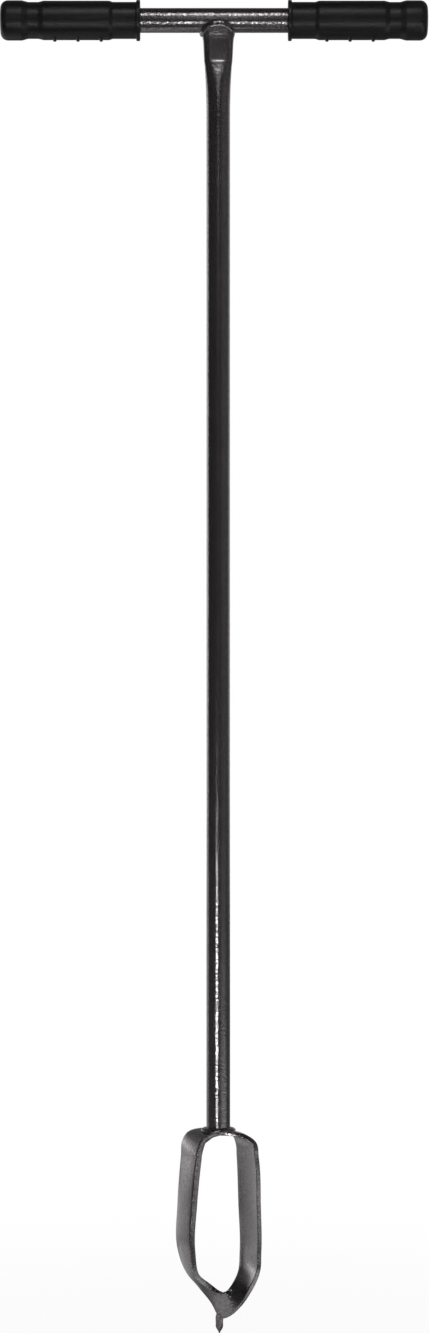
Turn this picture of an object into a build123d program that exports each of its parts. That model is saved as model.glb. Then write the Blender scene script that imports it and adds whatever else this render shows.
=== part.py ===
from build123d import *
import os

os.makedirs("parts", exist_ok=True)

# The auger stands on its point: the point is at the origin, +Z runs up the shaft,
# +X along the handle to the right and +Y to the back. All sizes are in millimetres.

# Handle bar, which the shaft meets a little right of its middle
bar_height = 1182.6
bar_radius = 11.1
bar_wall = 2.0
bar_length = 375.0
bar_shift = -3.8

# Grips, measured outwards from the flange face
grip_length = 125.8
grip_end_wall = 4.9
flange_width, flange_radius = 3.4, 18.4
neck_radius = 16.5
neck_end = 25.2
body_start, body_end, body_radius = 27.4, 88.2, 17.6
waist_start, waist_end, waist_radius = 90.4, 102.8, 16.45
bulb_start, bulb_radius = 105.0, 17.95
end_bevel = 4.2

# Finger ribs under each grip, blocks with sloping ends
rib_middle, rib_pitch = 56.0, 20.9
rib_width, rib_reach = 2.8, 19.1
rib_half_span, rib_half_foot = 3.5, 8.0

# Shaft: round up to straight_top, then pressed until it has a flat on the front and the back
shaft_radius = 10.65
shaft_wall = 2.0
straight_top, pressed_bottom = 1097.0, 1148.0
flat_half_width, flat_half_depth = 7.3, 6.1
flat_half_start = 1.0  # degrees of the round tube where each flat starts

# Welds: a fat round bead under the bar, slanting at its ends, and a ring around the shaft's foot
saddle_height = bar_height - 7.8
saddle_radius = 12.3
saddle_half_length, saddle_half_bottom, saddle_half_top = 17.5, 6.5, 7.5
foot_bead = 2.3

# Body: two strips of flat bar, ground thinner towards their leading edges
strip_thickness = 5.0
leading_thickness = 4.2
strip_sections = 19
shoulder_height = 181.2
shaft_foot = shoulder_height - 0.5

# The strips meet under the shaft and again in a seam at the nose
seam_top, seam_bottom = (3.6, -1.2, 36.8), (1.5, 0, 12.2)

# Stations down each strip: its trailing and its leading edge, in the middle of its thickness.
# The right strip leads at the front and the left one at the back, where its lip is cut back.
right_stations = [
    ((0, 13, shoulder_height), (0, -13, shoulder_height)),
    ((4.5, 14.2, 180.6), (4.5, -13.8, 181.3)),
    ((10.5, 16, 178.6), (12, -14.7, 181.2)),
    ((15.4, 17, 176), (25.5, -15.5, 177.8)),
    ((17.8, 17.8, 168.5), (32.4, -16, 172.8)),
    ((18.6, 18, 157), (34.6, -16, 160)),
    ((20.1, 18, 115), (36.5, -16, 115)),
    ((21.4, 18, 73), (36.9, -16, 75)),
    ((19.6, 15, 52.5), (35.4, -16, 56)),
    ((13.9, 9, 42), (28.6, -14, 40.1)),
    ((8.5, -1.0, 38.2), (19.4, -9.0, 24.5)),
    ((5.8, -1.4, 37.3), (9.8, -4.0, 15.2)),
    (seam_top, seam_bottom),
]
left_stations = [
    ((0, -13, shoulder_height), (0, 13, shoulder_height)),
    ((-4.5, -14.2, 180.2), (-4.5, 13.8, 181.4)),
    ((-9.6, -16, 176.8), (-12, 14.7, 181.7)),
    ((-13.4, -17.5, 173.1), (-25.4, 15.5, 179)),
    ((-15.9, -18, 165.5), (-30.6, 16, 172.4)),
    ((-17.1, -18, 157), (-32.1, 16, 157)),
    ((-21, -18, 117), (-35.1, 16, 115)),
    ((-22.7, -18, 76), (-34.9, 16, 73.5)),
    ((-19.3, -15, 54), (-28, 15, 55.1)),
    ((-9, -9, 44.2), (-15.3, 9, 39.7)),
    ((-1.5, -4, 38.4), (-5, 4, 26.5)),
    (seam_top, seam_bottom),
]

# Twisted point: half width and half thickness at each height, and the flats that slant across it
point_shift = 1.0
point_half_width = 4.2
point_sizes = {0: (0.9, 0.8), 7.2: (point_half_width, 2.6), 15.0: (2.6, 2.4)}
slant_height, slant_reach = 7.5, 2.2
slant_outward = Vector(-0.6, -0.75, 0.35).normalized()


def across_bar(x):
    """Plane square to the bar's axis at x."""
    return Plane((x, 0, bar_height), x_dir=(0, 1, 0), z_dir=(1, 0, 0))


# Crossbar

with BuildPart() as crossbar_tube:
    with BuildSketch(across_bar(bar_shift - bar_length / 2)):
        Circle(bar_radius)
        Circle(bar_radius - bar_wall, mode=Mode.SUBTRACT)
    extrude(amount=bar_length)

# Strips


def strip_rails(stations):
    """Trailing and leading edge as splines that share one parameter, so stations stay paired."""
    run = [0]
    for here, after in zip(stations, stations[1:]):
        step = Vector(*after[0]) + Vector(*after[1]) - Vector(*here[0]) - Vector(*here[1])
        run.append(run[-1] + step.length)
    shares = [distance / run[-1] for distance in run]
    trailing = Edge.make_spline([Vector(*station[0]) for station in stations], parameters=shares)
    leading = Edge.make_spline([Vector(*station[1]) for station in stations], parameters=shares)
    return trailing, leading


def make_strip(stations, side):
    """One twisted strip, side 1 on the right and -1 on the left, lofted from shaft to seam."""
    trailing_rail, leading_rail = strip_rails(stations)
    with BuildPart() as strip:
        for index in range(strip_sections):
            share = index / (strip_sections - 1)
            trailing, leading = trailing_rail @ share, leading_rail @ share
            travel = trailing_rail % share + leading_rail % share
            if index == 0:
                travel = Vector(side, 0, 0)
            if index == strip_sections - 1:
                travel = Vector(-side, 0, 0)
            across = (leading - trailing).normalized()
            square = travel - across * travel.dot(across)
            half_width = (leading - trailing).length / 2
            with BuildSketch(Plane((trailing + leading) / 2, x_dir=across, z_dir=square)):
                with BuildLine():
                    Polyline(
                        (-half_width, -strip_thickness / 2),
                        (half_width, -leading_thickness / 2),
                        (half_width, leading_thickness / 2),
                        (-half_width, strip_thickness / 2),
                        close=True,
                    )
                make_face()
        loft(ruled=True)
    return strip


right_blade = make_strip(right_stations, 1)
left_blade = make_strip(left_stations, -1)

# Twisted point


def point_outline(column):
    """The point seen from the front with column 0, or from the side with column 1."""
    right = [(sizes[column], height) for height, sizes in point_sizes.items()]
    left = [(-across, height) for across, height in reversed(right)]
    Polyline(*right, *left, close=True)


with BuildPart() as twisted_point:
    with BuildSketch(Plane.XZ.move(Location((point_shift, 0, 0)))):
        with BuildLine():
            point_outline(0)
        make_face()
    extrude(amount=point_half_width, both=True)
    with BuildSketch(Plane.YZ.move(Location((point_shift, 0, 0)))):
        with BuildLine():
            point_outline(1)
        make_face()
    extrude(amount=point_half_width, both=True, mode=Mode.INTERSECT)
    for turn in (0, 180):
        outward = slant_outward.rotate(Axis.Z, turn)
        with BuildSketch(Plane(Vector(point_shift, 0, slant_height) + outward * slant_reach, z_dir=outward)):
            Rectangle(2 * shaft_radius, 2 * shaft_radius)
        extrude(amount=shaft_radius, mode=Mode.SUBTRACT)
    add(left_blade.part, mode=Mode.SUBTRACT)
    add(right_blade.part, mode=Mode.SUBTRACT)

# Shaft


def arc_at(x, height, radius, start, end):
    """Level arc about a point beside the shaft's axis."""
    return Edge.make_circle(radius, Plane((x, 0, height)), start, end)


def round_face(height, inset):
    """The round tube, drawn in by inset: two side arcs and two short ones where the flats start."""
    start = flat_half_start
    marks = (start - 90, 90 - start, 90 + start, 270 - start, 270 + start)
    radius = shaft_radius - inset
    return Face(Wire([arc_at(0, height, radius, *ends) for ends in zip(marks, marks[1:])]))


def pressed_face(height, inset):
    """The pressed tube, drawn in by inset: two side arcs and two flats."""
    reach, radius = flat_half_width, flat_half_depth - inset
    edges = [
        arc_at(reach, height, radius, -90, 90),
        Edge.make_line((reach, radius, height), (-reach, radius, height)),
        arc_at(-reach, height, radius, 90, 270),
        Edge.make_line((-reach, -radius, height), (reach, -radius, height)),
    ]
    return Face(Wire(edges))


with BuildPart() as shaft_tube:
    for inset, mode in ((0, Mode.ADD), (shaft_wall, Mode.SUBTRACT)):
        with BuildSketch(Plane.XY.offset(shaft_foot)):
            Circle(shaft_radius - inset)
        extrude(amount=straight_top - shaft_foot, mode=mode)
        loft([round_face(straight_top, inset), pressed_face(pressed_bottom, inset)], ruled=True, mode=mode)
        extrude(pressed_face(pressed_bottom, inset), amount=bar_height - pressed_bottom, mode=mode)
    with BuildSketch(across_bar(-saddle_half_length)):
        Circle(bar_radius)
    extrude(amount=2 * saddle_half_length, mode=Mode.SUBTRACT)
    add(left_blade.part, mode=Mode.SUBTRACT)
    add(right_blade.part, mode=Mode.SUBTRACT)

# Welds

with BuildPart() as saddle_weld:
    with BuildSketch(Plane((-saddle_half_length, 0, saddle_height), x_dir=(0, 1, 0), z_dir=(1, 0, 0))):
        Circle(saddle_radius)
    extrude(amount=2 * saddle_half_length)
    with BuildSketch(Plane.XZ):
        with BuildLine():
            Polyline(
                (-saddle_half_top, bar_height),
                (-saddle_half_length, saddle_height),
                (-saddle_half_bottom, saddle_height - saddle_radius),
                (saddle_half_bottom, saddle_height - saddle_radius),
                (saddle_half_length, saddle_height),
                (saddle_half_top, bar_height),
                close=True,
            )
        make_face()
    extrude(amount=saddle_radius, both=True, mode=Mode.INTERSECT)
    with BuildSketch(across_bar(-saddle_half_length)):
        Circle(bar_radius)
    extrude(amount=2 * saddle_half_length, mode=Mode.SUBTRACT)
    extrude(pressed_face(saddle_height - saddle_radius, 0), amount=saddle_radius, mode=Mode.SUBTRACT)

with BuildPart() as shoulder_weld:
    with BuildSketch(Plane.XY.offset(shaft_foot)):
        Circle(shaft_radius + foot_bead)
        Circle(shaft_radius, mode=Mode.SUBTRACT)
    extrude(amount=strip_thickness / 2 + foot_bead)
    add(left_blade.part, mode=Mode.SUBTRACT)
    add(right_blade.part, mode=Mode.SUBTRACT)

# Grips


grip_sections = [
    (flange_width, neck_radius),
    (neck_end, neck_radius),
    (body_start, body_radius),
    (body_end, body_radius),
    (waist_start, waist_radius),
    (waist_end, waist_radius),
    (bulb_start, bulb_radius),
    (grip_length - end_bevel, bulb_radius),
    (grip_length, bulb_radius - end_bevel),
]


def make_grip(side):
    """One grip, side 1 on the right and -1 on the left."""
    flange_x = bar_shift + side * (bar_length / 2 + grip_end_wall - grip_length)
    with BuildPart() as grip:
        for place, radius in grip_sections:
            with BuildSketch(across_bar(flange_x + side * place)):
                Circle(radius)
        loft(ruled=True)
        with BuildSketch(across_bar(flange_x)):
            Circle(flange_radius)
        extrude(amount=side * flange_width)
        for rib in (-1, 0, 1):
            with BuildSketch(across_bar(flange_x + side * (rib_middle + rib * rib_pitch))):
                with BuildLine():
                    Polyline(
                        (-rib_half_foot, -neck_radius / 2),
                        (-rib_half_foot, -waist_radius),
                        (-rib_half_span, -rib_reach),
                        (rib_half_span, -rib_reach),
                        (rib_half_foot, -waist_radius),
                        (rib_half_foot, -neck_radius / 2),
                        close=True,
                    )
                make_face()
            extrude(amount=rib_width / 2, both=True)
        with BuildSketch(across_bar(flange_x)):
            Circle(bar_radius)
        extrude(amount=side * (grip_length - grip_end_wall), mode=Mode.SUBTRACT)
    return grip


right_grip = make_grip(1)
left_grip = make_grip(-1)

pieces = {
    "crossbar_tube": crossbar_tube,
    "left_grip": left_grip,
    "right_grip": right_grip,
    "shaft_tube": shaft_tube,
    "saddle_weld": saddle_weld,
    "left_blade": left_blade,
    "right_blade": right_blade,
    "shoulder_weld": shoulder_weld,
    "twisted_point": twisted_point,
}
for name, piece in pieces.items():
    piece.part.label = name
    export_step(piece.part, f"parts/{name}.step")
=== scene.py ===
import bisect
import math

import bmesh
import bpy
from mathutils import Matrix, Vector, noise


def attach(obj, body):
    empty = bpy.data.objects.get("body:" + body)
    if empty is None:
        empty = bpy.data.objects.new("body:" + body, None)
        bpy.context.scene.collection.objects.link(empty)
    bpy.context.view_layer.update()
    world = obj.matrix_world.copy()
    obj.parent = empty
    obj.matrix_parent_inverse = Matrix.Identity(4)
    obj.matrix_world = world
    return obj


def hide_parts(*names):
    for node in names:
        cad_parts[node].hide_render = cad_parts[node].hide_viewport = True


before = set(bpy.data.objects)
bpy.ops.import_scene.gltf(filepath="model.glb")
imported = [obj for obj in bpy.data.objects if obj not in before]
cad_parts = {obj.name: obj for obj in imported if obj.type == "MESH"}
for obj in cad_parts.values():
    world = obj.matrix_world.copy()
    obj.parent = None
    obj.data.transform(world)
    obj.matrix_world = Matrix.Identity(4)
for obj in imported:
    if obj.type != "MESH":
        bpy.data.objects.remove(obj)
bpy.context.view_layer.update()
mm = 0.001
mergeGap = 0.002 * mm  # points nearer than this become one
touchGap = 0.01 * mm  # points nearer than this to a plane lie on it
middle = 0.5  # noise and random tones swing around this


# shader wires: sums on values become Math nodes, everything else comes from node()
class Wire:
    def __init__(self, tree, socket=None):
        self.tree = tree
        self.socket = socket

    def node(self, kind, settings=None, sockets=None, out=0):
        made = self.tree.nodes.new(kind)
        for name, value in (settings or {}).items():
            setattr(made, name, value)
        for name, value in (sockets or {}).items():
            if isinstance(value, Wire):
                self.tree.links.new(value.socket, made.inputs[name])
            else:
                made.inputs[name].default_value = value
        return Wire(self.tree, made.outputs[out] if len(made.outputs) else None)

    def maths(self, operation, *values):
        return self.node("ShaderNodeMath", {"operation": operation}, dict(enumerate((self,) + values)))

    def __add__(self, other):
        return self.maths("ADD", other)

    def __sub__(self, other):
        return self.maths("SUBTRACT", other)

    def __rsub__(self, other):
        return (self * -1).maths("ADD", other)

    def __mul__(self, other):
        return self.maths("MULTIPLY", other)

    def __pow__(self, other):
        return self.maths("POWER", other)

    __radd__ = __add__
    __rmul__ = __mul__

    def between(self, low, high):
        return self.node("ShaderNodeMapRange", {"interpolation_type": "SMOOTHSTEP"},
                         {"Value": self, "From Min": low, "From Max": high})

    def blend(self, first, second):
        return self.node("ShaderNodeMix", {"data_type": "RGBA"}, {0: self, 6: first, 7: second}, out=2)


def freshMaterial(name):
    material = bpy.data.materials.new(name)
    material.use_nodes = True
    material.node_tree.nodes.clear()
    return material, Wire(material.node_tree)


def objectPoint(wire, scale=(1, 1, 1)):
    place = wire.node("ShaderNodeTexCoord", out="Object")
    return wire.node("ShaderNodeMapping", {}, {"Vector": place, "Scale": scale})


# hammered paint: a dark binder with metal flakes, drawn into dimples that are shallower on the strips
paintLook = {
    "binder": (0.108, 0.099, 0.101, 1),
    "flake": (0.49, 0.464, 0.474, 1),
    "flakeShare": 0.36,
    "toneSwing": 0.15,
    "grainSwing": 0.35,
    "openShare": 1.1,
    "veinDrop": 0.4,
    "cloudShare": 0.85,
    "cloudLift": 0.3,
    "dimpleSize": 1.6 * mm,
    "dimpleBlend": 0.3,
    "dimpleCurve": 1.4,
    "tubeDimples": 0.11 * mm,
    "stripDimples": 0.06 * mm,
    "wobbleShare": 0.5,
    "driftReach": 1.2 * mm,
    "veinSpan": (0.34, 0.62),
    "grainSize": 0.5 * mm,
    "grainHeight": 0.15,
    "cloudScale": 38,
    "metallic": 0.96,
    "roughness": 0.15,
    "veinRough": 0.08,
    "grainRough": 0.08,
    "cloudRough": 0.05,
}


def makePaint(name, look, dimpleDepth):
    material, wire = freshMaterial(name)
    place = objectPoint(wire)
    wobble = wire.node("ShaderNodeTexNoise", {}, {
        "Vector": place, "Scale": look["wobbleShare"] / look["dimpleSize"], "Detail": 2}, out="Color")
    drift = wire.node("ShaderNodeVectorMath", {"operation": "MULTIPLY_ADD"}, {
        0: wobble, 1: (look["driftReach"],) * 3, 2: place})
    dimple = wire.node("ShaderNodeTexVoronoi", {"feature": "SMOOTH_F1"}, {
        "Vector": drift, "Scale": 1 / look["dimpleSize"], "Smoothness": look["dimpleBlend"]})
    cell = wire.node("ShaderNodeTexVoronoi", {}, {
        "Vector": drift, "Scale": 1 / look["dimpleSize"]}, out="Color")
    tone = wire.node("ShaderNodeSeparateColor", {}, {"Color": cell}, out="Red")
    grain = wire.node("ShaderNodeTexNoise", {}, {
        "Vector": place, "Scale": 1 / look["grainSize"], "Detail": 3, "Roughness": 0.6})
    cloud = wire.node("ShaderNodeTexNoise", {}, {"Vector": place, "Scale": look["cloudScale"], "Detail": 2})
    vein = dimple.between(*look["veinSpan"])  # dark lines between the dimples
    flake = look["flakeShare"] + look["toneSwing"] * (tone - middle) + look["grainSwing"] * (grain - middle)
    flake = (flake * (look["openShare"] - look["veinDrop"] * vein)
             * (look["cloudShare"] + look["cloudLift"] * cloud))
    colour = flake.blend(look["binder"], look["flake"])
    rough = (look["roughness"] + look["veinRough"] * vein + look["grainRough"] * (grain - middle)
             + look["cloudRough"] * (cloud - middle))
    height = dimple ** look["dimpleCurve"] + look["grainHeight"] * grain
    bump = wire.node("ShaderNodeBump", {}, {"Strength": 1.0, "Distance": dimpleDepth, "Height": height})
    shader = wire.node("ShaderNodeBsdfPrincipled", {}, {
        "Base Color": colour, "Roughness": rough, "Metallic": look["metallic"], "Normal": bump})
    wire.node("ShaderNodeOutputMaterial", {}, {"Surface": shader})
    return material


# moulded grips: near black, with faint streaks along the handle and a fine grain
gripLook = {
    "deep": (0.0042, 0.0042, 0.0044, 1),
    "worn": (0.0085, 0.0085, 0.0088, 1),
    "streakScale": (14, 420, 420),
    "streakSpan": (0.35, 0.7),
    "streakHeight": 0.8,
    "streakRough": 0.16,
    "patchScale": 55,
    "patchShare": 0.5,
    "patchRough": 0.14,
    "grainSize": 0.5 * mm,
    "grainDepth": 0.12 * mm,
    "grainStrength": 0.55,
    "roughness": 0.36,
    "gloss": 0.3,
}


def makeRubber(look):
    material, wire = freshMaterial("gripRubber")
    streak = wire.node("ShaderNodeTexNoise", {}, {
        "Vector": objectPoint(wire, look["streakScale"]), "Scale": 1, "Detail": 3, "Roughness": 0.55})
    place = objectPoint(wire)
    grain = wire.node("ShaderNodeTexNoise", {}, {"Vector": place, "Scale": 1 / look["grainSize"], "Detail": 2})
    patch = wire.node("ShaderNodeTexNoise", {}, {"Vector": place, "Scale": look["patchScale"], "Detail": 3})
    wear = streak.between(*look["streakSpan"]) * (look["patchShare"] + patch)
    colour = wear.blend(look["deep"], look["worn"])
    rough = look["roughness"] + look["streakRough"] * (streak - middle) + look["patchRough"] * (patch - middle)
    height = grain + look["streakHeight"] * streak
    bump = wire.node("ShaderNodeBump", {}, {
        "Strength": look["grainStrength"], "Distance": look["grainDepth"], "Height": height})
    shader = wire.node("ShaderNodeBsdfPrincipled", {}, {
        "Base Color": colour, "Roughness": rough, "Specular IOR Level": look["gloss"], "Normal": bump})
    wire.node("ShaderNodeOutputMaterial", {}, {"Surface": shader})
    return material


tubePaint = makePaint("tubePaint", paintLook, paintLook["tubeDimples"])
stripPaint = makePaint("stripPaint", paintLook, paintLook["stripDimples"])
rubber = makeRubber(gripLook)
print("finishes made")


def closeMesh(bm):
    bmesh.ops.remove_doubles(bm, verts=bm.verts, dist=mergeGap)
    bmesh.ops.recalc_face_normals(bm, faces=bm.faces)


def finishPiece(name, bm, node, material, sharpAngle):
    closeMesh(bm)
    mesh = bpy.data.meshes.new(name)
    bm.to_mesh(mesh)
    bm.free()
    mesh.shade_smooth()
    mesh.set_sharp_from_angle(angle=math.radians(sharpAngle))
    piece = bpy.data.objects.new(name, mesh)
    bpy.context.collection.objects.link(piece)
    mesh.materials.append(material)
    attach(piece, "root")
    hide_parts(node)


def spinRing(bm, points, centre, axis, steps, closed=False):
    verts = [bm.verts.new(Vector(place) * mm) for place in points]
    pairs = list(zip(verts, verts[1:]))
    if closed:
        pairs.append((verts[-1], verts[0]))
    edges = [bm.edges.new(pair) for pair in pairs]
    bmesh.ops.spin(bm, geom=verts + edges, cent=Vector(centre) * mm, axis=axis, angle=2 * math.pi,
                   steps=steps, use_merge=True, use_duplicate=False)


def roundOff(bm, geom, offset, segments, affect="EDGES"):
    bmesh.ops.bevel(bm, geom=geom, offset=offset * mm, offset_type="OFFSET", segments=segments, profile=0.5,
                    affect=affect, clamp_overlap=True, material=-1)


def foldedEdges(bm, angle):
    return [edge for edge in bm.edges if edge.calc_face_angle(0) > math.radians(angle)]


def stretchRing(bm, edges):
    made = bmesh.ops.extrude_edge_only(bm, edges=edges)["geom"]
    verts = [item for item in made if isinstance(item, bmesh.types.BMVert)]
    held = set(verts)
    ring = [item for item in made if isinstance(item, bmesh.types.BMEdge) and held.issuperset(item.verts)]
    return verts, ring


def runMarks(points):
    # how far along the line each of its points lies
    marks = [0]
    for here, after in zip(points, points[1:]):
        marks.append(marks[-1] + (after - here).length)
    return marks


def curveThrough(marks, rows, mark):
    # smooth curve through the rows, each of them a vector that belongs to one mark
    last = len(marks) - 1
    index = min(max(bisect.bisect_right(marks, mark) - 1, 0), last - 1)

    def slope(row):
        before, after = max(row - 1, 0), min(row + 1, last)
        if before == row or after == row:
            return (rows[after] - rows[before]) / (marks[after] - marks[before])
        left, right = marks[row] - marks[before], marks[after] - marks[row]
        ahead, behind = rows[after] - rows[row], rows[row] - rows[before]
        return (ahead * (left / right) + behind * (right / left)) / (left + right)

    span = marks[index + 1] - marks[index]
    share = (mark - marks[index]) / span
    return (rows[index] * (1 + 2 * share) * (1 - share) ** 2
            + slope(index) * span * share * (1 - share) ** 2
            + rows[index + 1] * share ** 2 * (3 - 2 * share)
            + slope(index + 1) * span * share ** 2 * (share - 1))


# crossbar: a tube whose ends are inside the grips
bar = {
    "height": 1182.6,
    "radius": 11.1,
    "wall": 2.0,
    "length": 375.0,
    "shift": -3.8,
    "around": 96,
    "foldAngle": 60,
    "endRound": 0.4,
    "endSteps": 2,
    "sharpAngle": 40,
}


def makeCrossbar():
    bm = bmesh.new()
    low, high = bar["shift"] - bar["length"] / 2, bar["shift"] + bar["length"] / 2
    outer, inner = bar["height"] + bar["radius"], bar["height"] + bar["radius"] - bar["wall"]
    points = [(low, 0, outer), (high, 0, outer), (high, 0, inner), (low, 0, inner)]
    spinRing(bm, points, (0, 0, bar["height"]), (1, 0, 0), bar["around"], closed=True)
    bmesh.ops.recalc_face_normals(bm, faces=bm.faces)
    roundOff(bm, foldedEdges(bm, bar["foldAngle"]), bar["endRound"], bar["endSteps"])
    finishPiece("crossbar", bm, "crossbar_tube", tubePaint, bar["sharpAngle"])


makeCrossbar()


# grips: place along the grip and radius, from the flange face outwards
grip = {
    "length": 125.8,
    "endWall": 4.9,
    "profile": [(0, 18.4), (3.4, 18.4), (3.4, 16.5), (24.6, 16.5), (28, 17.6), (87, 17.6), (91.5, 16.45),
                (101, 16.45), (106.5, 17.95), (125.8, 17.95)],
    "around": 96,
    "foldAngle": 60,
    "endRound": 6.8,
    "endSteps": 8,
    "edgeRound": 0.7,
    "edgeSteps": 3,
    "slopeAngles": (9, 28),
    "slopeRound": 1.0,
    "ribPlaces": (35.1, 56.0, 76.9),
    "ribDrop": 7.7,
    "ribProfile": [(-1.6, 9.0), (-1.5, 10.6), (-1.1, 11.2), (-0.5, 11.4), (0.5, 11.4), (1.1, 11.2),
                   (1.5, 10.6), (1.6, 9.0)],
    "sharpAngle": 50,
}


def makeGrip(name, node, side):
    bm = bmesh.new()
    flange = bar["shift"] + side * (bar["length"] / 2 + grip["endWall"] - grip["length"])

    def at(place, radius, drop=0):
        return (flange + side * place, 0, bar["height"] - drop + radius)

    points = [at(0, bar["radius"])] + [at(*row) for row in grip["profile"]] + [at(grip["length"], 0)]
    spinRing(bm, points, (0, 0, bar["height"]), (1, 0, 0), grip["around"])
    closeMesh(bm)
    endPlace = (flange + side * grip["length"]) * mm
    endRing = [edge for edge in foldedEdges(bm, grip["foldAngle"])
               if all(abs(vert.co.x - endPlace) < touchGap for vert in edge.verts)]
    roundOff(bm, endRing, grip["endRound"], grip["endSteps"])
    edges = [edge for edge in foldedEdges(bm, grip["foldAngle"]) if edge.is_manifold]
    roundOff(bm, edges, grip["edgeRound"], grip["edgeSteps"])
    least, most = grip["slopeAngles"]
    slopes = [edge for edge in foldedEdges(bm, least) if edge.calc_face_angle(0) < math.radians(most)]
    roundOff(bm, slopes, grip["slopeRound"], grip["edgeSteps"])
    # rings set below the bar's middle, so that the ribs stand out below only
    ribCentre = (0, 0, bar["height"] - grip["ribDrop"])
    for place in grip["ribPlaces"]:
        rib = [at(place + across, radius, grip["ribDrop"]) for across, radius in grip["ribProfile"]]
        spinRing(bm, rib, ribCentre, (1, 0, 0), grip["around"], closed=True)
    finishPiece(name, bm, node, rubber, grip["sharpAngle"])


makeGrip("rightGrip", "right_grip", 1)
makeGrip("leftGrip", "left_grip", -1)
print("handle made")


# shaft: height, half of the flat, then reach and half depth of the round sides, from the foot up
shaft = {
    "radius": 10.65,
    "foot": 180.7,
    "plainRings": [190, 480, 780],
    "press": [(1093, 0, 10.65, 10.65), (1104, 0.1, 10.6, 10.6), (1113, 0.2, 10.7, 10.35),
              (1121, 0.5, 10.6, 9.7), (1128, 1.0, 10.4, 8.7), (1134, 1.9, 9.85, 7.45), (1140, 3.3, 8.8, 5.9),
              (1145.4, 5.4, 7.3, 4.75), (1152, 6.6, 6.5, 4.75), (1158, 7.0, 6.4, 5.1), (1164, 6.8, 7.0, 5.7),
              (1168, 6.0, 8.5, 6.5), (1171.5, 5.4, 10.2, 7.4), (1181, 5.4, 10.6, 9.4)],
    "pressRings": 50,
    "flatShare": 0.3,
    "fullFlat": 7.0,
    "crown": 0.3,
    "crownHalf": 4.2,
    "dieHeight": 1145.2,
    "dieDepth": 0.5,
    "dieStep": 1.35,
    "dieFade": 22.0,
    "dieHalf": 5.8,
    "dieRings": 4,
    "around": 96,
    "sharpAngle": 30,
}


def makeShaft():
    bm = bmesh.new()
    turnLayer = bm.verts.layers.float.new("turn")
    circle = bmesh.ops.create_circle(bm, radius=shaft["radius"] * mm, segments=shaft["around"])["verts"]
    bmesh.ops.rotate(bm, verts=circle, matrix=Matrix.Rotation(math.pi / shaft["around"], 3, "Z"))
    bmesh.ops.translate(bm, verts=circle, vec=(0, 0, shaft["foot"] * mm))
    for vert in circle:
        vert[turnLayer] = math.atan2(vert.co.y, vert.co.x)
    ring = list(bm.edges)
    bmesh.ops.edgeloop_fill(bm, edges=ring)
    marks = [row[0] for row in shaft["press"]]
    rows = [Vector(row[1:]) for row in shaft["press"]]
    low, high, count = marks[0], marks[-1], shaft["pressRings"]
    heights = [low + step * (high - low) / count for step in range(count + 1)]
    for step in range(shaft["dieRings"] + 1):
        heights.append(shaft["dieHeight"] + shaft["dieStep"] * step / shaft["dieRings"])
    for height in shaft["plainRings"] + sorted(heights):
        verts, ring = stretchRing(bm, ring)
        flat, reach, depth = curveThrough(marks, rows, height) if height > low else rows[0]
        rise = height - shaft["dieHeight"]
        start, fade = rise / shaft["dieStep"], 1 - rise / shaft["dieFade"]
        dent = shaft["dieDepth"] * min(max(start, 0), 1, max(fade, 0))
        for vert in verts:
            turn = vert[turnLayer]
            # front and back points fan out over the flat, which is slightly crowned and bitten by the die
            fan = min(max(math.cos(turn) / shaft["flatShare"], -1), 1)
            across = flat * fan + reach * math.cos(turn)
            crown = shaft["crown"] * flat / shaft["fullFlat"] * math.exp(-(across / shaft["crownHalf"]) ** 2)
            bite = dent * math.exp(-(across / shaft["dieHalf"]) ** 4)
            vert.co = Vector((across, (depth - bite + crown) * math.sin(turn), height)) * mm
    bmesh.ops.edgeloop_fill(bm, edges=ring)
    finishPiece("shaft", bm, "shaft_tube", tubePaint, shaft["sharpAngle"])


makeShaft()


# strips of the body: trailing and leading edge at each station, in the middle of the thickness
strip = {
    "trailingThickness": 5.0,
    "leadingThickness": 4.2,
    "halfWidth": 17.0,
    "corner": 0.55,
    "cornerSteps": 3,
    "widthParts": 10,
    "arch": 2.4,
    "archCurve": 0.8,
    "rings": 84,
    "nudgeParts": 400,
    "right": [((0, 13, 181.2), (0, -13, 181.2)), ((4.5, 14.2, 180.6), (4.5, -13.8, 181.3)),
              ((10.5, 16, 178.6), (12, -14.7, 181.2)), ((15.4, 17, 176), (25.5, -15.5, 177.8)),
              ((17.8, 17.8, 168.5), (32.4, -16, 172.8)), ((18.6, 18, 157), (34.6, -16, 160)),
              ((20.1, 18, 115), (36.5, -16, 115)), ((21.4, 18, 73), (36.9, -16, 75)),
              ((19.6, 12, 53.0), (35.4, -16, 56)), ((13.9, 3, 43.0), (28.6, -14, 40.1)),
              ((8.5, -2.5, 38.6), (19.4, -8.0, 24.5)), ((5.8, -2.8, 37.5), (9.8, -3.4, 15.2)),
              ((3.6, -2.2, 36.8), (1.5, 0, 12.2))],
    "left": [((0, -13, 181.2), (0, 13, 181.2)), ((-4.5, -14.2, 180.2), (-4.5, 13.8, 181.4)),
             ((-9.6, -16, 176.8), (-12, 14.7, 181.7)), ((-13.4, -17.5, 173.1), (-25.4, 15.5, 179.0)),
             ((-15.9, -18, 165.5), (-30.6, 16, 172.4)), ((-17.1, -18, 157), (-32.1, 16, 157)),
             ((-21, -18, 117), (-35.1, 16, 115)), ((-22.7, -18, 76), (-34.9, 16, 73.5)),
             ((-19.3, -15, 54), (-28, 15, 55.1)), ((-9, -9, 44.2), (-15.3, 9, 39.7)),
             ((-1.5, -4, 38.4), (-5, 4, 26.5)), ((3.6, -2.2, 36.8), (1.5, 0, 12.2))],
    "sharpAngle": 45,
}


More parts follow.
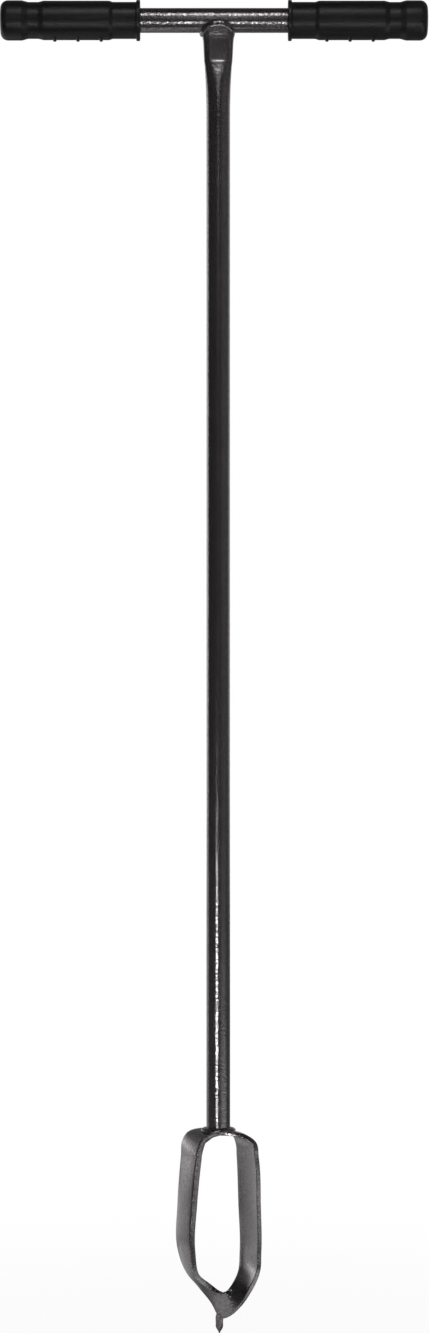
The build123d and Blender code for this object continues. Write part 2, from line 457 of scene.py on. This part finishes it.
def stripSection(bm):
    # flat bar section in its own plane: across it in x, through it in y, with rounded corners
    half = strip["halfWidth"]
    thick, thin = strip["trailingThickness"], strip["leadingThickness"]
    grid = bmesh.ops.create_grid(bm, x_segments=strip["widthParts"], y_segments=1, size=1)["verts"]
    for vert in grid:
        thickness = thick + (vert.co.x + 1) / 2 * (thin - thick)
        vert.co = Vector((vert.co.x * half, math.copysign(thickness / 2, vert.co.y), 0)) * mm
    bmesh.ops.dissolve_faces(bm, faces=list(bm.faces))
    corners = [vert for vert in bm.verts if abs(vert.co.x) > half * mm - touchGap]
    roundOff(bm, corners, strip["corner"], strip["cornerSteps"], "VERTICES")
    bmesh.ops.delete(bm, geom=list(bm.faces), context="FACES_ONLY")
    return list(bm.verts), list(bm.edges)


def makeStrip(name, node, stations, side):
    trailing = [Vector(row[0]) for row in stations]
    leading = [Vector(row[1]) for row in stations]
    middles = [(first + second) / 2 for first, second in zip(trailing, leading)]
    marks = runMarks(middles)
    nudge = marks[-1] / strip["nudgeParts"]

    def planeAt(mark):
        back, front = curveThrough(marks, trailing, mark), curveThrough(marks, leading, mark)
        travel = (curveThrough(marks, middles, min(mark + nudge, marks[-1]))
                  - curveThrough(marks, middles, max(mark - nudge, 0)))
        if mark == 0:
            travel = Vector((side, 0, 0))
        if mark == marks[-1]:
            travel = Vector((-side, 0, 0))
        across = (front - back).normalized()
        square = (travel - across * travel.dot(across)).normalized()
        through = square.cross(across)
        stretch = (front - back).length / 2 / strip["halfWidth"]
        rows = Matrix((across * stretch, through, square)).transposed().to_4x4()
        rows.translation = (front + back) / 2 * mm
        return rows

    bm = bmesh.new()
    verts, ring = stripSection(bm)
    plane = planeAt(0)
    bmesh.ops.transform(bm, matrix=plane, verts=verts)
    bmesh.ops.edgeloop_fill(bm, edges=ring)
    arch = 0
    for step in range(1, strip["rings"] + 1):
        share = step / strip["rings"]
        verts, ring = stretchRing(bm, ring)
        after = planeAt(marks[-1] * share)
        archAfter = strip["arch"] * math.sin(math.pi * share) ** strip["archCurve"] if share < 1 else 0
        back = plane.inverted()
        for vert in verts:
            flat = back @ vert.co
            flat.y -= (archAfter - arch) * mm * (1 - (flat.x / (strip["halfWidth"] * mm)) ** 2)
            vert.co = after @ flat
        plane, arch = after, archAfter
    bmesh.ops.edgeloop_fill(bm, edges=ring)
    finishPiece(name, bm, node, stripPaint, strip["sharpAngle"])


makeStrip("rightBlade", "right_blade", strip["right"], 1)
makeStrip("leftBlade", "left_blade", strip["left"], -1)
print("body made")


# twisted point: height, half width, half thickness and turn of each stage
point = {
    "shift": 1.0,
    "stages": [(0, 0.6, 0.5, -105), (3.2, 2.3, 1.3, -60), (6.8, 3.2, 1.8, -15), (11.5, 2.9, 2.3, 30),
               (17, 3.0, 2.5, 75)],
    "rings": 30,
    "corner": 0.25,
    "cornerSteps": 2,
    "sharpAngle": 40,
}


def makePoint():
    bm = bmesh.new()
    bmesh.ops.create_grid(bm, x_segments=1, y_segments=1, size=1 * mm)
    roundOff(bm, list(bm.verts), point["corner"], point["cornerSteps"], "VERTICES")
    ring = list(bm.edges)
    marks = [row[0] for row in point["stages"]]
    rows = [Vector(row[1:]) for row in point["stages"]]

    def stage(height):
        wide, thick, turn = curveThrough(marks, rows, height)
        return (Matrix.Translation(Vector((point["shift"], 0, height)) * mm)
                @ Matrix.Rotation(math.radians(turn), 4, "Z") @ Matrix.Diagonal((wide, thick, 1, 1)))

    place = stage(0)
    bmesh.ops.transform(bm, matrix=place, verts=bm.verts)
    for step in range(1, point["rings"] + 1):
        verts, ring = stretchRing(bm, ring)
        after = stage(marks[-1] * step / point["rings"])
        bmesh.ops.transform(bm, matrix=after @ place.inverted(), verts=verts)
        place = after
    bmesh.ops.edgeloop_fill(bm, edges=ring)
    finishPiece("twistedPoint", bm, "twisted_point", stripPaint, point["sharpAngle"])


makePoint()


# welds: one bead swept around the shaft's top, one spun around its foot, both with faint ripples and lumps
weld = {
    "saddlePath": [(-13.8, 0, -11.0), (-12.8, -5.0, -9.3), (-8.8, -9.6, -6.0), (0, -10.9, -3.9),
                   (8.4, -9.4, -6.0), (11.4, -5.0, -9.0), (11.8, 0, -9.9)],
    "saddleOverlap": 2,
    "saddleNudge": 0.2,
    "saddleRadius": 3.6,
    "saddleFace": 22,
    "saddleFlat": (0.84, 1.16),
    "saddleAround": 24,
    "saddleRings": 150,
    "footCentre": (11.4, 182.9),
    "footSize": (4.4, 2.5),
    "footAround": 20,
    "footRings": 120,
    "ripplePitch": 2.8,
    "rippleDepth": 0.08,
    "rippleWander": 2.5,
    "wanderSize": 6,
    "lumpSize": 4.5,
    "lumpDepth": 0.26,
    "lumpShift": (7, 3, 1),
    "sharpAngle": 60,
}


def roughen(bm, along):
    bm.normal_update()
    moves = []
    for vert in bm.verts:
        place = vert.co / mm
        wander = weld["rippleWander"] * noise.noise(place / weld["wanderSize"])
        ripple = math.sin(2 * math.pi * along(vert) / weld["ripplePitch"] + wander)
        lump = noise.noise(place / weld["lumpSize"] + Vector(weld["lumpShift"]))
        moves.append(vert.normal * (weld["rippleDepth"] * ripple + weld["lumpDepth"] * lump) * mm)
    for vert, move in zip(bm.verts, moves):
        vert.co += move


def makeSaddleWeld():
    # the bead runs around the shaft's end: along its front, and mirrored along its back
    front = [Vector(row) for row in weld["saddlePath"]]
    behind = [Vector((row.x, -row.y, row.z)) for row in reversed(front[1:-1])]
    # a few more points at both ends, so that the curve closes smoothly
    overlap, nudge = weld["saddleOverlap"], weld["saddleNudge"]
    loop = behind[-overlap:] + front + behind + front[:overlap + 1]
    marks = runMarks(loop)
    start, end = marks[overlap], marks[overlap + len(front) + len(behind)]
    rise = Vector((0, 0, bar["height"]))

    def planeAt(share):
        mark = start + share * (end - start)
        last, following = curveThrough(marks, loop, mark - nudge), curveThrough(marks, loop, mark + nudge)
        along = (following - last).normalized()
        aside = along.cross(Vector((0, 0, 1))).normalized()
        rows = Matrix((aside, aside.cross(along), along)).transposed().to_4x4()
        rows.translation = (curveThrough(marks, loop, mark) + rise) * mm
        return rows

    bm = bmesh.new()
    runLayer = bm.verts.layers.float.new("run")
    radius, around = weld["saddleRadius"] * mm, weld["saddleAround"]
    verts = bmesh.ops.create_circle(bm, radius=radius, segments=around)["verts"]
    ring = list(bm.edges)
    # the bead is flattened across a face that looks up and outward
    lean = Matrix.Rotation(math.radians(weld["saddleFace"]), 4, "Z")
    squeeze = Matrix.Diagonal((*weld["saddleFlat"], 1, 1))
    plane = planeAt(0)
    bmesh.ops.transform(bm, matrix=plane @ lean @ squeeze @ lean.inverted(), verts=verts)
    for step in range(1, weld["saddleRings"] + 1):
        verts, ring = stretchRing(bm, ring)
        after = planeAt(step / weld["saddleRings"])
        bmesh.ops.transform(bm, matrix=after @ plane.inverted(), verts=verts)
        for vert in verts:
            vert[runLayer] = (end - start) * step / weld["saddleRings"]
        plane = after
    closeMesh(bm)
    roughen(bm, lambda vert: vert[runLayer])
    finishPiece("saddleWeld", bm, "saddle_weld", stripPaint, weld["sharpAngle"])


def makeShoulderWeld():
    bm = bmesh.new()
    centre, height = weld["footCentre"]
    wide, tall = weld["footSize"]
    turns = [2 * math.pi * step / weld["footAround"] for step in range(weld["footAround"])]
    points = [(centre + wide * math.cos(turn), 0, height + tall * math.sin(turn)) for turn in turns]
    spinRing(bm, points, (0, 0, 0), (0, 0, 1), weld["footRings"], closed=True)
    bmesh.ops.recalc_face_normals(bm, faces=bm.faces)
    roughen(bm, lambda vert: math.atan2(vert.co.y, vert.co.x) * shaft["radius"])
    finishPiece("shoulderWeld", bm, "shoulder_weld", tubePaint, weld["sharpAngle"])


makeSaddleWeld()
makeShoulderWeld()
print("welds made")


# studio: the camera sees white, other rays a pale wall behind and on the left, a dark ceiling and front,
# and glossy rays a painted glow on the floor, dim with pale pools, which the metal shows as painted
# reflections
studio = {
    "cameraPlace": (-0.0034, -3.6, 0.6005),
    "lens": 107.9,
    "sensor": 36,
    "frontLevel": 0.03,
    "sweepLevel": 0.8,
    "sweepSpan": (0.25, 0.8),
    "leftLevel": 0.9,
    "leftSpan": (0.35, 0.75),
    "leftDepth": (0.25, 0.55),
    "ceilingShare": 0.85,
    "ceilingSpan": (0.04, 0.34),
    "sideLevel": 0.11,
    "sideSpan": (0.2, 0.8),
    "floorSize": 14,
    "floorColour": (0.86, 0.86, 0.86, 1),
    "floorWhite": 0.95,
    "shadowSpan": (0.1, 0.9),
    # painted glow on the floor that only glossy rays see: a dim base level and pale pools, shown on the metal
    # as painted reflections
    "glowBase": 0.08,
    "glowPools": {
        "near": {"level": 0.6, "centre": (-0.09, -0.11), "reach": (0.19, 0.18)},
        "nearLeft": {"level": 0.5, "centre": (-0.22, 0.16), "reach": (0.24, 0.26)},
        "left": {"level": 0.46, "centre": (-0.75, 0.75), "reach": (0.95, 0.85)},
        "farLeft": {"level": 0.9, "centre": (-2.6, 2.4), "reach": (2.2, 2.0)},
        "nearRight": {"level": 0.8, "centre": (0.11, -0.06), "reach": (0.11, 0.13)},
        "right": {"level": 0.95, "centre": (1.1, -0.8), "reach": (1.0, 1.1)},
        "behind": {"level": 0.1, "centre": (0.0, 1.6), "reach": (2.5, 1.5)},
    },
    "poolEdge": 0.4,
    "lamps": {
        "topBox": {"place": (0.0, -1.5, 2.9), "aim": (0, 0, 1.15), "size": (1.0, 0.84),
                   "power": 0.43, "spread": 30, "shine": True},
        "midBox": {"place": (0.0, -1.9, 1.95), "aim": (0, 0, 1.13), "size": (0.4, 0.9),
                   "power": 0.038, "spread": 40, "shine": True},
        "flatBox": {"place": (0.0, -1.9, 1.30), "aim": (0, 0, 1.16), "size": (0.16, 0.36),
                    "power": 0.0042, "spread": 40, "shine": True},
        "lowStrip": {"place": (-0.36, -1.5, 0.10), "aim": (0, 0, 0.31), "size": (0.3, 0.16),
                     "power": 0.062, "spread": 20, "shine": True},
        "floorPanel": {"place": (0.0, -1.75, 0.14), "aim": (0, 0, 1.18), "size": (1.6, 0.24),
                       "power": 0.47, "spread": 40, "shine": True},
        "frontFill": {"place": (0.0, -4.2, 1.6), "aim": (0, 0, 0.6), "size": (2.5, 2.5),
                      "power": 140, "spread": 180, "shine": False},
    },
}


def makeWorld():
    world = bpy.data.worlds.new("sweep")
    bpy.context.scene.world = world
    world.use_nodes = True
    world.node_tree.nodes.clear()
    wire = Wire(world.node_tree)
    place = wire.node("ShaderNodeTexCoord", out="Generated")
    aside, depth, rise = [wire.node("ShaderNodeSeparateXYZ", {}, {0: place}, out=axis) for axis in "XYZ"]
    left = (-1 * aside).between(*studio["leftSpan"]) * depth.between(*studio["leftDepth"])
    wall = studio["leftLevel"] * left + studio["sweepLevel"] * depth.between(*studio["sweepSpan"])
    level = (studio["frontLevel"] + studio["sideLevel"] * aside.between(*studio["sideSpan"])
             + wall * (1 - studio["ceilingShare"] * rise.between(*studio["ceilingSpan"])))
    sweep = wire.node("ShaderNodeBackground", {}, {"Color": level, "Strength": 1.0})
    white = wire.node("ShaderNodeBackground", {}, {"Color": (1, 1, 1, 1), "Strength": 1.0})
    seen = wire.node("ShaderNodeLightPath", out="Is Camera Ray")
    mixed = wire.node("ShaderNodeMixShader", {}, {0: seen, 1: sweep, 2: white})
    wire.node("ShaderNodeOutputWorld", {}, {"Surface": mixed})


def makeFloor():
    bm = bmesh.new()
    bmesh.ops.create_grid(bm, x_segments=1, y_segments=1, size=studio["floorSize"] / 2)
    mesh = bpy.data.meshes.new("floor")
    bm.to_mesh(mesh)
    bm.free()
    floor = bpy.data.objects.new("floor", mesh)
    bpy.context.collection.objects.link(floor)
    material, wire = freshMaterial("paleFloor")
    matt = wire.node("ShaderNodeBsdfDiffuse", {}, {"Color": studio["floorColour"]})
    seen = wire.node("ShaderNodeLightPath", out="Is Camera Ray")
    glossy = wire.node("ShaderNodeLightPath", out="Is Glossy Ray")
    away = wire.node("ShaderNodeVectorMath", {"operation": "LENGTH"}, {0: objectPoint(wire)}, out="Value")
    # the shadow stays near the point, the rest is white
    share = studio["floorWhite"] + (1 - studio["floorWhite"]) * away.between(*studio["shadowSpan"])
    # painted glow for glossy rays: a dim base with pale pools, which the metal shows as painted reflections
    glossyGlow = glossy * studio["glowBase"]
    for pool in studio["glowPools"].values():
        wide, deep = pool["reach"]
        scale = Vector((1 / wide, 1 / deep, 0))
        shift = Vector((*pool["centre"], 0)) * scale * -1
        spread = wire.node("ShaderNodeMapping", {}, {
            "Vector": objectPoint(wire), "Location": shift, "Scale": scale})
        edge = wire.node("ShaderNodeVectorMath", {"operation": "LENGTH"}, {0: spread}, out="Value")
        glossyGlow = glossyGlow + glossy * pool["level"] * (1 - edge.between(studio["poolEdge"], 1))
    glow = wire.node("ShaderNodeEmission", {}, {"Color": seen + glossyGlow, "Strength": 1.0})
    mixed = wire.node("ShaderNodeMixShader", {}, {0: seen * share + glossy, 1: matt, 2: glow})
    wire.node("ShaderNodeOutputMaterial", {}, {"Surface": mixed})
    # not sampled as a lamp, only camera and glossy rays meet its glow
    material.cycles.emission_sampling = "NONE"
    mesh.materials.append(material)


def makeLamps():
    for name, row in studio["lamps"].items():
        lamp = bpy.data.lights.new(name, "AREA")
        lamp.shape = "RECTANGLE"
        lamp.size, lamp.size_y = row["size"]
        lamp.energy = row["power"]
        lamp.spread = math.radians(row["spread"])
        holder = bpy.data.objects.new(name, lamp)
        holder.location = row["place"]
        aim = Vector(row["aim"]) - Vector(row["place"])
        holder.rotation_euler = aim.to_track_quat("-Z", "Y").to_euler()
        holder.visible_camera = False
        holder.visible_glossy = row["shine"]  # the fill only lifts the matt share of the colours
        bpy.context.collection.objects.link(holder)


def makeCamera():
    camera = bpy.data.cameras.new("camera")
    camera.lens = studio["lens"]
    camera.sensor_width = studio["sensor"]
    holder = bpy.data.objects.new("camera", camera)
    holder.location = studio["cameraPlace"]
    holder.rotation_euler = (math.pi / 2, 0, 0)  # level, looking along y
    bpy.context.collection.objects.link(holder)
    bpy.context.scene.camera = holder


makeWorld()
makeFloor()
makeLamps()
makeCamera()
bpy.context.scene.view_settings.view_transform = "Standard"
print("studio made")
